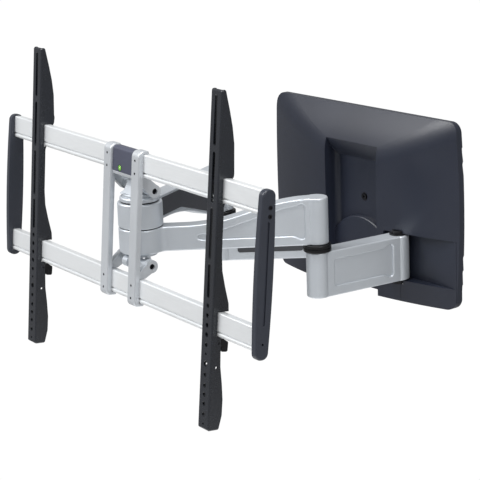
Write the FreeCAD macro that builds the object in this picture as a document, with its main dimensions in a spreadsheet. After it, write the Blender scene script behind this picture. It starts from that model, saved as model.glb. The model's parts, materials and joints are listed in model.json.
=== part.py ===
# Full motion television wall mount with twin folding arms.
#
# Frame: millimetres, +Z up, -Y out into the room. The origin is the middle of the wall plate's back,
# on the wall's surface. The mount stands at rest with its arms pulled out and a little to the left,
# its head swivelled a few degrees and tilted back a few degrees.
import FreeCAD, Part
import math
import os
import re
import Sketcher
from FreeCAD import Placement, Rotation, Vector

doc = FreeCAD.newDocument("television_wall_mount")

# ---------------------------------------------------------------- driving dimensions

DIMENSIONS = [
    # wall unit
    ("plate_width", 344), ("plate_height", 222), ("plate_thick", 3),
    ("stud_pitch_across", 300), ("stud_pitch_up", 160), ("stud_hole_rad", 4.5),
    ("cover_width", 386), ("cover_height", 267), ("cover_side", 12), ("cover_bulge", 28),
    ("cover_shift", -4), ("cover_lift", 2.5), ("cover_back_round", 4), ("hip_round", 70),
    ("cover_crown", 36), ("cover_wall", 2.5), ("cover_corner", 16), ("cover_barrel", 6),
    ("niche_half", 54), ("niche_top", 96), ("niche_floor", 14), ("niche_ceiling", 60),
    ("pad_rise", 7), ("pad_rad", 66), ("pad_middle", -91),
    ("pocket_inner", 66), ("pocket_outer", 188), ("pocket_top", -31), ("pocket_bottom", -100),
    ("access_inner", 96.5), ("seam_gap", 0.4),
    # arms
    ("pivot_half", 87.5), ("pivot_out", 32.5), ("forearm_length", 138), ("outer_length", 241),
    ("forearm_top", -33), ("forearm_bottom", -98), ("forearm_rad", 16), ("beam_thick", 25),
    ("elbow_rad", 16), ("hub_rad", 31), ("outer_low", -22), ("outer_high_elbow", 44),
    ("outer_high_hub", 12.5), ("left_top", 48), ("left_low_hub", 13.5), ("slope_start", 40),
    ("slope_end", 145), ("slope_round", 250), ("edge_round", 2.2), ("panel_deep", 2.2),
    ("forearm_thick", 29), ("channel_deep", 6),
    ("ring_rad", 19.5), ("pin_rad", 6), ("running_gap", 0.05), ("lug_thick", 3.4),
    # hub
    ("hub_out", 359), ("hub_side", -78.5), ("spindle_rad", 8), ("sleeve_rad", 11),
    ("left_bore_rad", 18), ("crown_rad", 27.5), ("crown_top", 56),
    # head
    ("tilt_height", 68), ("pan_angle", -4.93), ("tilt_angle", -5.5),
    ("rail_half", 325), ("rail_height", 31.8), ("rail_deep", 12), ("rail_front", -22.2),
    ("upper_rail_low", 20.3), ("lower_rail_low", -151.7), ("rail_wall", 1.8), ("lip_height", 6.7),
    ("bracket_mid", 36.5), ("bracket_width", 18.6), ("bracket_thick", 8), ("bracket_front", -30.2),
    ("bracket_top", 56.4), ("bracket_low", -156.8), ("ear_rad", 9), ("lower_pin_drop", 104),
    ("tilt_pin_rad", 4), ("tube_rad", 7.3), ("ear_thick", 9), ("ear_outer", 41.3),
    ("cap_thick", 9), ("cap_half_deep", 9.4), ("cap_belly", 4.6), ("cap_middle", -18.5), ("cap_low", -159.5),
    ("cap_top", 54.5),
    # uprights
    ("upright_width", 24), ("upright_front", -30.2), ("upright_low", -276.6),
    ("upright_height", 440), ("upright_sheet", 2.2), ("slot_half", 2.9), ("hole_rad", 3.1),
]

sheet = doc.addObject("Spreadsheet::Sheet", "Sizes")
for row, (alias, value) in enumerate(DIMENSIONS, start=1):
    sheet.set(f"A{row}", alias)
    sheet.set(f"B{row}", str(value))
    sheet.setAlias(f"B{row}", alias)
doc.recompute()

D = {alias: float(getattr(sheet, alias)) for alias, _ in DIMENSIONS}
ALIASES = re.compile(r"\b(" + "|".join(sorted(D, key=len, reverse=True)) + r")\b")


def value_of(size):
    """The number that a size stands for: a number, or a sum of the sheet's words."""
    if isinstance(size, (int, float)):
        return float(size)
    total = 0.0
    term = r"([+-]?)\s*([a-z_]+|[\d.]+)(?:\s*\*\s*([\d.]+))?"
    for sign, word, factor in re.findall(term, size):
        number = D[word] if word in D else float(word)
        if factor:
            number *= float(factor)
        total += -number if sign == "-" else number
    return total


def bind(thing, prop, size):
    """Bind one property to the sheet, or set it when the size is a plain number."""
    if isinstance(size, (int, float)):
        size = str(size)
    thing.setExpression(prop, ALIASES.sub(r"Sizes.\1", size))


# ---------------------------------------------------------------- primitives and booleans

counter = {"made": 0}


def inner_name(label):
    counter["made"] += 1
    return f"{label}_{counter['made']}"


def box(size, low):
    """A block from its three sizes and its lowest corner."""
    block = doc.addObject("Part::Box", inner_name("block"))
    for prop, amount in zip(("Length", "Width", "Height"), size):
        bind(block, prop, amount)
    for axis, amount in zip("xyz", low):
        bind(block, f"Placement.Base.{axis}", amount)
    return block


TURN = {"z": Rotation(), "x": Rotation(Vector(0, 1, 0), 90), "y": Rotation(Vector(1, 0, 0), -90)}


def rod(radius, length, start, axis="z"):
    """A cylinder that starts at a point and runs along +X, +Y or +Z."""
    bar = doc.addObject("Part::Cylinder", inner_name("rod"))
    bind(bar, "Radius", radius)
    bind(bar, "Height", length)
    bar.Placement = Placement(Vector(), TURN[axis])
    for name, amount in zip("xyz", start):
        bind(bar, f"Placement.Base.{name}", amount)
    return bar


def hexagon(across, length, start, axis="z"):
    """A hexagonal prism for nuts and bolt heads, given the distance across its flats."""
    prism = doc.addObject("Part::Prism", inner_name("hexagon"))
    prism.Polygon = 6
    prism.Circumradius = across / math.sqrt(3)
    bind(prism, "Height", length)
    prism.Placement = Placement(Vector(), TURN[axis])
    for name, amount in zip("xyz", start):
        bind(prism, f"Placement.Base.{name}", amount)
    return prism


def fuse(*pieces):
    joined = doc.addObject("Part::MultiFuse", inner_name("fuse"))
    joined.Shapes = list(pieces)
    joined.Refine = True
    return joined


def common(*pieces):
    shared = doc.addObject("Part::MultiCommon", inner_name("common"))
    shared.Shapes = list(pieces)
    return shared


def cut(base, *tools):
    rest = doc.addObject("Part::Cut", inner_name("cut"))
    rest.Base = base
    rest.Tool = tools[0] if len(tools) == 1 else fuse(*tools)
    rest.Refine = True
    return rest


def round_edges(base, radius, wanted):
    """Fillet the edges of a finished object that the test picks."""
    doc.recompute()
    rounding = doc.addObject("Part::Fillet", inner_name("round"))
    rounding.Base = base
    picked = [i for i, edge in enumerate(base.Shape.Edges, start=1) if wanted(edge)]
    rounding.Edges = [(i, radius, radius) for i in picked]
    return rounding


# ---------------------------------------------------------------- sketched bodies

ROLES = {"xy": "XY_Plane", "xz": "XZ_Plane", "yz": "YZ_Plane"}


def new_body(label):
    return doc.addObject("PartDesign::Body", inner_name(label))


def sketch_on(body, plane, level=0):
    """An empty sketch on one of the body's own planes, moved along the plane's normal."""
    sketch = body.newObject("Sketcher::SketchObject", inner_name("sketch"))
    origin_plane = next(f for f in body.Origin.OriginFeatures if f.Role == ROLES[plane])
    sketch.AttachmentSupport = [(origin_plane, "")]
    sketch.MapMode = "FlatFace"
    bind(sketch, "AttachmentOffset.Base.z", level)
    return sketch


def draw_circle(sketch, x, y, radius):
    """A circle held by its centre and radius, which are bound to the sheet."""
    index = sketch.addGeometry(Part.Circle(Vector(value_of(x), value_of(y), 0), Vector(0, 0, 1),
                                           value_of(radius)), False)
    for kind, amount in (("DistanceX", x), ("DistanceY", y)):
        number = sketch.addConstraint(Sketcher.Constraint(kind, -1, 1, index, 3, value_of(amount)))
        bind(sketch, f"Constraints[{number}]", amount)
    number = sketch.addConstraint(Sketcher.Constraint("Radius", index, value_of(radius)))
    bind(sketch, f"Constraints[{number}]", radius)


def draw_polygon(sketch, corners):
    """A closed polygon whose every corner is bound to the sheet."""
    spots = [Vector(value_of(x), value_of(y), 0) for x, y in corners]
    lines = [Part.LineSegment(spot, spots[(i + 1) % len(spots)]) for i, spot in enumerate(spots)]
    first = sketch.addGeometry(lines, False)[0]
    last = len(corners) - 1
    for i in range(len(corners)):
        ends = (first + i, 2, first + (0 if i == last else i + 1), 1)
        sketch.addConstraint(Sketcher.Constraint("Coincident", *ends))
    for i, (x, y) in enumerate(corners):
        for kind, amount in (("DistanceX", x), ("DistanceY", y)):
            held = Sketcher.Constraint(kind, -1, 1, first + i, 1, value_of(amount))
            number = sketch.addConstraint(held)
            bind(sketch, f"Constraints[{number}]", amount)


def draw_outline(sketch, corners):
    """A closed outline of straight runs whose corners (x, y, radius) are tangent arcs."""
    spots = [(Vector(value_of(x), value_of(y), 0), value_of(r)) for x, y, r in corners]
    runs = []
    for i, (spot, radius) in enumerate(spots):
        before = (spots[i - 1][0] - spot).normalize()
        after = (spots[(i + 1) % len(spots)][0] - spot).normalize()
        if radius <= 0 or (before + after).Length < 1e-6:
            runs.append((spot, spot, None))
            continue
        half = before.getAngle(after) / 2
        reach = radius / math.tan(half)
        start, end = spot + before * reach, spot + after * reach
        middle_way = (before + after).normalize()
        middle = spot + middle_way * (radius / math.sin(half) - radius)
        runs.append((start, end, middle))
    for i, (start, end, middle) in enumerate(runs):
        if middle is not None:
            sketch.addGeometry(Part.Arc(start, middle, end), False)
        following = runs[(i + 1) % len(runs)][0]
        if end.distanceToPoint(following) > 1e-6:
            sketch.addGeometry(Part.LineSegment(end, following), False)
    for index in range(len(sketch.Geometry)):
        sketch.addConstraint(Sketcher.Constraint("Block", index))


def pad(body, sketch, length, both_ways=False, reverse=False):
    feature = body.newObject("PartDesign::Pad", inner_name("pad"))
    feature.Profile = sketch
    feature.Midplane = both_ways
    feature.Reversed = reverse
    bind(feature, "Length", length)
    return feature


def pocket(body, sketch, length, both_ways=False, reverse=False):
    feature = body.newObject("PartDesign::Pocket", inner_name("pocket"))
    feature.Profile = sketch
    feature.Midplane = both_ways
    feature.Reversed = reverse
    bind(feature, "Length", length)
    return feature


def fillet(body, radius, wanted):
    """Fillet the edges of the body's tip that the test picks."""
    doc.recompute()
    tip = body.Tip
    names = [f"Edge{i}" for i, edge in enumerate(tip.Shape.Edges, start=1) if wanted(edge)]
    feature = body.newObject("PartDesign::Fillet", inner_name("fillet"))
    feature.Base = (tip, names)
    bind(feature, "Radius", radius)
    return feature


def along(edge, axis, slack=1e-4):
    """True for a straight edge that runs along one axis."""
    if edge.Curve.TypeId != "Part::GeomLine":
        return False
    way = edge.Vertexes[-1].Point - edge.Vertexes[0].Point
    return abs(abs(way.normalize().dot(axis)) - 1) < slack


AXIS_X, AXIS_Y, AXIS_Z = Vector(1, 0, 0), Vector(0, 1, 0), Vector(0, 0, 1)

# ---------------------------------------------------------------- finished pieces

pieces = {}


def keep(label, thing, place=None):
    """Give a finished piece its name and its place, and put it on the list to be written."""
    thing.Label = label
    if place is not None:
        thing.Placement = place.multiply(thing.Placement)
    pieces[label] = thing


def keep_group(label, solids, place=None):
    """Several identical loose pieces that share one name."""
    group = doc.addObject("Part::Compound", inner_name("group"))
    group.Links = solids
    keep(label, group, place)

# ---------------------------------------------------------------- wall plate and pivot bracket


def make_wall_plate():
    """A pressed steel plate with turned-in flanges and four wall bolt holes."""
    body = new_body("wall_plate")
    face = sketch_on(body, "xz")
    half_w, half_h = D["plate_width"] / 2, D["plate_height"] / 2
    draw_outline(face, [(-half_w, -half_h, 10), (half_w, -half_h, 10), (half_w, half_h, 10),
                        (-half_w, half_h, 10)])
    pad(body, face, "plate_thick")
    for edge_z in (half_h - D["plate_thick"], -half_h):
        flange = sketch_on(body, "xz")
        draw_polygon(flange, [(12 - half_w, edge_z), (half_w - 12, edge_z),
                              (half_w - 12, edge_z + D["plate_thick"]),
                              (12 - half_w, edge_z + D["plate_thick"])])
        pad(body, flange, 8)
    holes = sketch_on(body, "xz")
    for side in ("", "-"):
        for level in ("", "-"):
            draw_circle(holes, f"{side}stud_pitch_across * 0.5", f"{level}stud_pitch_up * 0.5",
                        "stud_hole_rad")
    for side, level in BRACKET_BOLTS:
        draw_circle(holes, side, level, 3.1)
    pocket(body, holes, 40, both_ways=True)
    windows = sketch_on(body, "xz")
    for side in (-1, 1):
        draw_outline(windows, [(side * 60 - 32, 34, 8), (side * 60 + 32, 34, 8),
                               (side * 60 + 32, 88, 8), (side * 60 - 32, 88, 8)])
    pocket(body, windows, 40, both_ways=True)
    keep("wall_plate", body)


BRACKET_BOLTS = [(side, level) for side in (-32, 32) for level in (-86, -45)]


def make_pivot_bracket():
    """A channel bolted to the plate, with a pair of lugs for each forearm's pivot pin."""
    body = new_body("pivot_bracket")
    web = sketch_on(body, "xz", 3)
    draw_polygon(web, [(-112, -103.4), (112, -103.4), (112, -27.6), (-112, -27.6)])
    pad(body, web, 3)
    nose = 8.5
    for level in (-31, -103.4):
        flange = sketch_on(body, "xy", level)
        draw_polygon(flange, [(-112, -3), (-112, -11), (112, -11), (112, -3)])
        pad(body, flange, "lug_thick")
        for side in (-1, 1):
            tongue = sketch_on(body, "xy", level)
            middle = side * D["pivot_half"]
            tip = -D["pivot_out"] - nose
            draw_outline(tongue, [(middle - nose, -9, 0), (middle - nose, tip, nose - 0.01),
                                  (middle + nose, tip, nose - 0.01), (middle + nose, -9, 0)])
            pad(body, tongue, "lug_thick")
    pins = sketch_on(body, "xy", -120)
    for side in ("-", ""):
        draw_circle(pins, f"{side}pivot_half", "-pivot_out", "pin_rad")
    pocket(body, pins, 110, reverse=True)
    bolts = sketch_on(body, "xz")
    for side, level in BRACKET_BOLTS:
        draw_circle(bolts, side, level, 3.1)
    pocket(body, bolts, 40, both_ways=True)
    keep("pivot_bracket", body)


def make_bracket_bolts():
    """Four hexagon-headed bolts that hold the pivot bracket to the wall plate."""
    bolts = []
    for side, level in BRACKET_BOLTS:
        head = hexagon(10, 3.6, (side, -10.8, level), "y")
        washer = rod(6, 1.2, (side, -7.2, level), "y")
        shank = rod(3.05, 6.2, (side, -6.5, level), "y")
        bolts.append(fuse(head, washer, shank))
    keep_group("bracket_bolts", bolts)


def make_wall_pivots():
    """The two forearm pivot pins, with a flanged bush above and below each forearm."""
    pins = []
    bushes = []
    for side in ("-", ""):
        at = (f"{side}pivot_half", "-pivot_out")
        shaft = rod("pin_rad", 76.1, (*at, -103.9))
        clip = rod("pin_rad + 2", 1.2, (*at, -104.8))
        pins.append(fuse(shaft, clip))
        for level in (-33, -100):
            ring = rod(12, 1.9, (*at, level + 0.05))
            bore = rod("pin_rad + 0.05", 4, (*at, level - 1))
            bushes.append(cut(ring, bore))
    keep_group("wall_pivot_pins", pins)
    keep_group("wall_pivot_bushes", bushes)


# ---------------------------------------------------------------- wall cover


def make_pillow(inset):
    """The cover's outer shape, drawn in by an inset: a barrel outline crowned both ways."""
    body = new_body("pillow")
    half = D["cover_width"] / 2 - inset
    tall = D["cover_height"] / 2 - inset
    waist = half - D["cover_barrel"]
    side = D["cover_side"] - inset * 0.4
    front = sketch_on(body, "xz")
    corners = [Vector(-waist, -tall, 0), Vector(waist, -tall, 0), Vector(waist, tall, 0),
               Vector(-waist, tall, 0)]
    front.addGeometry(Part.LineSegment(corners[0], corners[1]), False)
    front.addGeometry(Part.Arc(corners[1], Vector(half, 0, 0), corners[2]), False)
    front.addGeometry(Part.LineSegment(corners[2], corners[3]), False)
    front.addGeometry(Part.Arc(corners[3], Vector(-half, 0, 0), corners[0]), False)
    for index in range(4):
        front.addConstraint(Sketcher.Constraint("Block", index))
    pad(body, front, 90)
    fillet(body, D["cover_corner"] - inset, lambda edge: along(edge, AXIS_Y))
    fillet(body, D["cover_back_round"] - inset, lambda edge: edge.BoundBox.YMin > -1e-3)
    across = sketch_on(body, "xy")
    far = 120
    ends = (Vector(-half, -side, 0), Vector(half, -side, 0))
    peak = Vector(0, inset - D["cover_side"] - D["cover_bulge"], 0)
    draw_capped_arc(across, ends, peak, [Vector(half, -far, 0), Vector(-half, -far, 0)])
    pocket(body, across, 320, both_ways=True)
    crown = D["cover_crown"] - inset
    upright = sketch_on(body, "yz")
    bow = (tall ** 2 + crown ** 2) / (2 * crown)
    half_turn = math.asin(tall / bow) / 2
    deep = -side - crown
    spots = [Vector(-side, tall, 0), Vector(deep, 0, 0), Vector(deep, -tall - 1, 0),
             Vector(-far, -tall - 1, 0), Vector(-far, tall, 0), Vector(-side, tall, 0)]
    middle = Vector(deep + bow * (1 - math.cos(half_turn)), bow * math.sin(half_turn), 0)
    upright.addGeometry(Part.Arc(spots[0], middle, spots[1]), False)
    for first, second in zip(spots[1:], spots[2:]):
        upright.addGeometry(Part.LineSegment(first, second), False)
    for index in range(5):
        upright.addConstraint(Sketcher.Constraint("Block", index))
    pocket(body, upright, 460, both_ways=True)
    fillet(body, D["hip_round"] - inset,
           lambda edge: edge.BoundBox.XLength > 200 and edge.BoundBox.ZLength > 50)
    bind(body, "Placement.Base.x", "cover_shift")
    bind(body, "Placement.Base.z", "cover_lift")
    return body


def draw_capped_arc(sketch, ends, peak, beyond):
    """The area outside an arc: the arc through three points, closed by straight runs."""
    sketch.addGeometry(Part.Arc(ends[0], peak, ends[1]), False)
    spots = [ends[1], *beyond, ends[0]]
    for first, second in zip(spots, spots[1:]):
        sketch.addGeometry(Part.LineSegment(first, second), False)
    for index in range(len(sketch.Geometry)):
        sketch.addConstraint(Sketcher.Constraint("Block", index))


def make_niche(grow):
    """The middle niche that the hub folds into: open below, with a sloping ceiling."""
    body = new_body("niche")
    half = D["niche_half"] + grow
    floor = grow - D["niche_floor"]
    side_view = sketch_on(body, "yz")
    start, end = Vector(-38, D["niche_top"] + grow, 0), Vector(floor, D["niche_ceiling"] + grow, 0)
    bow = (start + end) * 0.5 - Vector(1.5, 1.5, 0)
    side_view.addGeometry(Part.Arc(start, bow, end), False)
    spots = [end, Vector(floor, -150, 0), Vector(-90, -150, 0), Vector(-90, start.y, 0), start]
    for first, second in zip(spots, spots[1:]):
        side_view.addGeometry(Part.LineSegment(first, second), False)
    for index in range(len(side_view.Geometry)):
        side_view.addConstraint(Sketcher.Constraint("Block", index))
    pad(body, side_view, 2 * half, both_ways=True)
    fillet(body, 9, lambda edge: along(edge, AXIS_Z) and edge.BoundBox.YMin > -40)
    mouth = new_body("mouth")
    face = sketch_on(mouth, "xz")
    draw_outline(face, [(-half, -150, 0), (half, -150, 0), (half, start.y, 12), (-half, start.y, 12)])
    pad(mouth, face, 90)
    for part in (body, mouth):
        bind(part, "Placement.Base.x", "cover_shift")
    return common(body, mouth)


def make_pocket(side, grow):
    """The side pocket that a folded forearm lies in."""
    body = new_body("pocket")
    face = sketch_on(body, "xz", D["niche_floor"] - grow)
    near, far = D["pocket_inner"] - grow, D["pocket_outer"] + grow
    low, high = D["pocket_bottom"] - grow, D["pocket_top"] + grow
    left, right = sorted((side * near, side * far))
    draw_outline(face, [(left, low, 3), (right, low, 3), (right, high, 3), (left, high, 3)])
    pad(body, face, 60)
    bind(body, "Placement.Base.x", "cover_shift")
    return body


def make_park_pad():
    """The raised half-round pad at the foot of the niche."""
    disc = rod("pad_rad", "pad_rise + 1", ("cover_shift", "-niche_floor - pad_rise", "pad_middle"), "y")
    room = box((110, 30, 114), ("cover_shift - 55", "-niche_floor - pad_rise - 10", -129))
    return round_edges(common(disc, room), 2.5,
                       lambda edge: edge.BoundBox.YMax < -D["niche_floor"] - 6.9
                       and edge.BoundBox.XLength > 60 and edge.BoundBox.ZMax > -100)


def make_wall_cover():
    """The moulded cover, its niche and pockets, and the two access covers let into it."""
    outer = make_pillow(0)
    doc.recompute()
    hollow = cut(make_pillow(D["cover_wall"]), make_niche(D["cover_wall"]),
                 make_pocket(1, D["cover_wall"]), make_pocket(-1, D["cover_wall"]))
    lugs = []
    for side in (-1, 1):
        for low, tall in ((-31.6, 4.6), (-105.6, 6.2)):
            lugs.append(rod(9.3, tall, (side * D["pivot_half"], "-pivot_out", low)))
            lugs.append(box((18.6, 49, tall), (side * D["pivot_half"] - 9.3, "-pivot_out", low)))
    shell = cut(outer, hollow, make_niche(0), make_pocket(1, 0), make_pocket(-1, 0))
    shell = fuse(shell, make_park_pad())
    screw_way = rod(3.2, 30, (0, -60, 4), "y")
    screw_seat = rod(6, 0.8, (0, "-niche_floor - 0.01", 4), "y")
    shell = cut(shell, screw_way, screw_seat, rod(3.2, 30, (0, -40, 4), "y"), *lugs)
    doc.recompute()
    gap = D["seam_gap"]
    openings = []
    for side in (-1, 1):
        reach = D["pocket_outer"] - D["access_inner"]
        low_x = D["cover_shift"] + (D["access_inner"] if side > 0 else -D["pocket_outer"])
        openings.append(box((reach, 92, 120), (low_x, -100, D["pocket_top"] - 120)))
        label = "access_cover_right" if side > 0 else "access_cover_left"
        room = box((reach - 2 * gap, 92 - gap, 120 - gap),
                   (low_x + gap, -100, D["pocket_top"] - 120))
        keep(label, common(shell, room))
    keep("wall_cover", cut(shell, *openings))


def make_cover_fixing():
    """A threaded post on the wall plate, and the screw that holds the cover to it."""
    post = hexagon(12, 8.2, (0, -11.2, 4), "y")
    keep("cover_post", cut(post, rod(2.5, 9.5, (0, -12, 4), "y")))
    head = rod(5, 2.0, (0, -15.4, 4), "y")
    socket = hexagon(3, 1.6, (0, -15.5, 4), "y")
    keep("cover_screw", fuse(cut(head, socket), rod(2.48, 9.5, (0, -13.5, 4), "y")))


make_wall_plate()
make_pivot_bracket()
make_bracket_bolts()
make_wall_pivots()
make_wall_cover()
make_cover_fixing()

# ---------------------------------------------------------------- where the arms stand


def elbow_spot(side):
    """The elbow of one arm, bent outwards, from the wall pivot, the hub and the two lengths."""
    pivot = Vector(side * D["pivot_half"], -D["pivot_out"], 0)
    hub = Vector(D["hub_side"], -D["hub_out"], 0)
    span = hub - pivot
    reach = span.Length
    first, second = D["forearm_length"], D["outer_length"]
    down = (first ** 2 - second ** 2 + reach ** 2) / (2 * reach)
    out = math.sqrt(first ** 2 - down ** 2)
    unit = span.normalize()
    sideways = Vector(-unit.y, unit.x, 0) * side
    return pivot, pivot + unit * down + sideways * out, hub


def heading(start, end):
    """The direction from one spot to another, in degrees about +Z."""
    return math.degrees(math.atan2(end.y - start.y, end.x - start.x))


def turned(spot, degrees):
    return Placement(spot, Rotation(AXIS_Z, degrees))


# ---------------------------------------------------------------- forearms

FOREARM_CHANNEL = [(20, -86, 4), (118, -86, 4), (118, -39, 4), (20, -39, 4)]
RIGHT_CHANNEL = [(22, -16, 4), (204, -16, 4), (204, 6, 4), (142, 6, 60), (52, 37, 60), (22, 38, 4)]
LEFT_CHANNEL = [(22, -17, 4), (40, -16.5, 40), (148, 18, 40), (204, 18, 4), (204, 44, 4),
                (22, 44, 4)]


def on_level(edge, level):
    return abs(edge.BoundBox.ZMin - level) < 1e-4 and abs(edge.BoundBox.ZMax - level) < 1e-4


def make_forearm(label, side, place):
    """A cast forearm: a barrel at each end, a sunk outer panel and a cable channel inside."""
    body = new_body(label)
    low, high = D["forearm_bottom"], D["forearm_top"]
    height = "forearm_top - forearm_bottom"
    for middle in (0, "forearm_length"):
        barrel = sketch_on(body, "xy", "forearm_bottom")
        draw_circle(barrel, middle, 0, "forearm_rad")
        pad(body, barrel, height)
    beam = sketch_on(body, "xy", "forearm_bottom")
    draw_polygon(beam, [(0, "-forearm_thick * 0.5"), ("forearm_length", "-forearm_thick * 0.5"),
                        ("forearm_length", "forearm_thick * 0.5"), (0, "forearm_thick * 0.5")])
    pad(body, beam, height)
    fillet(body, "edge_round", lambda edge: on_level(edge, low) or on_level(edge, high))
    add_panel(body, side, "forearm_thick * 0.5",
              [(119, low + 14, 3), (34, low + 14, 16), (19, low + 7, 5), (19, high - 6, 5),
               (34, high - 13, 16), (119, high - 13, 3)])
    add_channel(body, -side, "forearm_thick * 0.5", FOREARM_CHANNEL)
    bores = sketch_on(body, "xy", low - 5)
    draw_circle(bores, 0, 0, "pin_rad + running_gap")
    draw_circle(bores, "forearm_length", 0, "pin_rad + 0.02")
    pocket(body, bores, 90, reverse=True)
    keep(label, body, place)


def add_panel(body, side, face, corners):
    """Sink the outer panel into one side of an arm; side is the arm's local +Y or -Y."""
    level = f"-{face}" if side > 0 else face
    panel = sketch_on(body, "xz", level)
    draw_outline(panel, corners)
    pocket(body, panel, "panel_deep", reverse=side > 0)
    plane = side * value_of(face)
    inside = [x for x, _, _ in corners]
    fillet(body, 1.9, lambda edge: abs(edge.BoundBox.YMin - plane) < 1e-4
           and abs(edge.BoundBox.YMax - plane) < 1e-4
           and edge.BoundBox.XMin > min(inside) - 1e-3
           and edge.BoundBox.XMax < max(inside) + 1e-3
           and is_panel_edge(edge, corners))


def is_panel_edge(edge, corners):
    """True for an edge that lies inside the panel's own band of heights."""
    heights = [z for _, z, _ in corners]
    return edge.BoundBox.ZMin > min(heights) - 1e-3 and edge.BoundBox.ZMax < max(heights) + 1e-3


def add_channel(body, side, face, corners):
    """The cable channel along the inner side of an arm."""
    level = f"-{face}" if side > 0 else face
    channel = sketch_on(body, "xz", level)
    draw_outline(channel, corners)
    pocket(body, channel, "channel_deep", reverse=side > 0)


def drawn_in(corners, gap):
    """The same outline, drawn in by a gap on every side."""
    smaller = []
    for index, (x, z, radius) in enumerate(corners):
        spot = Vector(x, z, 0)
        before = Vector(*corners[index - 1][:2], 0)
        after = Vector(*corners[(index + 1) % len(corners)][:2], 0)
        into, out = (spot - before).normalize(), (after - spot).normalize()
        normal = Vector(-into.y - out.y, into.x + out.x, 0).normalize()
        spread = normal.dot(Vector(-into.y, into.x, 0))
        moved = spot + normal * (gap / spread)
        smaller.append((moved.x, moved.y, max(radius - gap, 0.5)))
    return smaller


def make_channel_lid(label, side, face, corners, place):
    """The snap-in plastic lid of a cable channel: a thin tray that stands a little proud."""
    body = new_body(label)
    level = -side * (value_of(face) + 0.8)
    skin = sketch_on(body, "xz", level)
    draw_outline(skin, drawn_in(corners, 0.25))
    pad(body, skin, 5.5, reverse=side < 0)
    fillet(body, 0.7, lambda edge: abs(edge.BoundBox.YMin + level) < 1e-4
           and abs(edge.BoundBox.YMax + level) < 1e-4)
    hollow = sketch_on(body, "xz", level + side * 2)
    draw_outline(hollow, drawn_in(corners, 2))
    pocket(body, hollow, 9, reverse=side > 0)
    keep(label, body, place)


# ---------------------------------------------------------------- outer arms


def make_outer_arm(label, right, place):
    """A cast outer arm from the elbow to the hub, with one edge straight and one edge swept."""
    body = new_body(label)
    low = "outer_low"
    high = "outer_high_elbow" if right else "left_top"
    hub_low = "outer_low" if right else "left_low_hub"
    hub_high = "outer_high_hub" if right else "left_top"
    elbow = sketch_on(body, "xy", low)
    draw_circle(elbow, 0, 0, "elbow_rad")
    pad(body, elbow, f"{high} - {low}")
    half = "beam_thick * 0.5"
    beam = sketch_on(body, "xy", low)
    draw_polygon(beam, [(0, f"-{half}"), ("outer_length", f"-{half}"), ("outer_length", half),
                        (0, half)])
    pad(body, beam, f"{high} - {low}")
    sweep = sketch_on(body, "xz")
    start, end, bend = D["slope_start"], D["slope_end"], D["slope_round"]
    if right:
        tall, short, beyond = D["outer_high_elbow"], D["outer_high_hub"], 90
    else:
        tall, short, beyond = D["outer_low"], D["left_low_hub"], -90
    draw_outline(sweep, [(-60, tall, 0), (start, tall, bend), (end, short, bend), (300, short, 0),
                         (300, beyond, 0), (-60, beyond, 0)])
    pocket(body, sweep, 120, both_ways=True)
    hub = sketch_on(body, "xy", hub_low)
    draw_circle(hub, "outer_length", 0, "hub_rad")
    pad(body, hub, f"{hub_high} - {hub_low}")
    meeting = D["outer_length"] - math.sqrt(D["hub_rad"] ** 2 - D["beam_thick"] ** 2 / 4)
    fillet(body, 14, lambda edge: along(edge, AXIS_Z) and abs(edge.BoundBox.XMin - meeting) < 0.01)
    flats = {value_of(low), value_of(high), value_of(hub_low), value_of(hub_high)}
    fillet(body, "edge_round", lambda edge: is_outer_rim(edge, flats))
    side = 1 if right else -1
    lift = D["outer_low"] + 14
    if right:
        corners = [(17, lift - 7, 4), (32, lift, 16), (158, lift, 6), (176, lift + 5, 3),
                   (138, 2, 60), (47, 30.5, 60), (32, 33, 8), (17, 38, 4)]
    else:
        corners = [(17, 41, 4), (32, 35, 16), (158, 35, 6), (176, 30, 3), (138, 25, 60),
                   (47, -6, 60), (32, -9, 8), (17, -15, 4)]
    add_panel(body, side, "beam_thick * 0.5", corners)
    add_channel(body, -side, "beam_thick * 0.5", RIGHT_CHANNEL if right else LEFT_CHANNEL)
    pin = sketch_on(body, "xy", low)
    draw_circle(pin, 0, 0, "pin_rad + running_gap")
    pocket(body, pin, 51, reverse=True)
    bore = sketch_on(body, "xy", -60)
    draw_circle(bore, "outer_length", 0, "sleeve_rad + running_gap" if right else "left_bore_rad")
    pocket(body, bore, 150, reverse=True)
    keep(label, body, place)


def is_outer_rim(edge, flats):
    """The long rims of an outer arm: edges on its flat levels, and the swept ones between."""
    span = edge.BoundBox
    if any(on_level(edge, level) for level in flats):
        return True
    on_side = abs(abs(span.YMin) - D["beam_thick"] / 2) < 1e-4 and span.YLength < 1e-4
    return on_side and span.XLength > 5


def make_arm_pins(side_name, pivot, elbow, high):
    """The elbow pin and the black ring between the forearm and the outer arm."""
    shaft = rod("pin_rad", high - D["forearm_bottom"] - 2, (elbow.x, elbow.y, "forearm_bottom + 1"))
    keep(f"elbow_pin_{side_name}", shaft)
    ring = rod("ring_rad", 10.8, (elbow.x, elbow.y, "forearm_top + 0.1"))
    shaped = round_edges(ring, 1.6, lambda edge: edge.BoundBox.XLength > 30)
    bore = rod("pin_rad + 0.03", 14, (elbow.x, elbow.y, "forearm_top - 1"))
    groove = cut(rod("ring_rad + 2", 1.4, (elbow.x, elbow.y, "forearm_top + 4.8")),
                 rod("ring_rad - 0.9", 1.4, (elbow.x, elbow.y, "forearm_top + 4.8")))
    keep(f"elbow_ring_{side_name}", cut(shaped, bore, groove))


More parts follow.
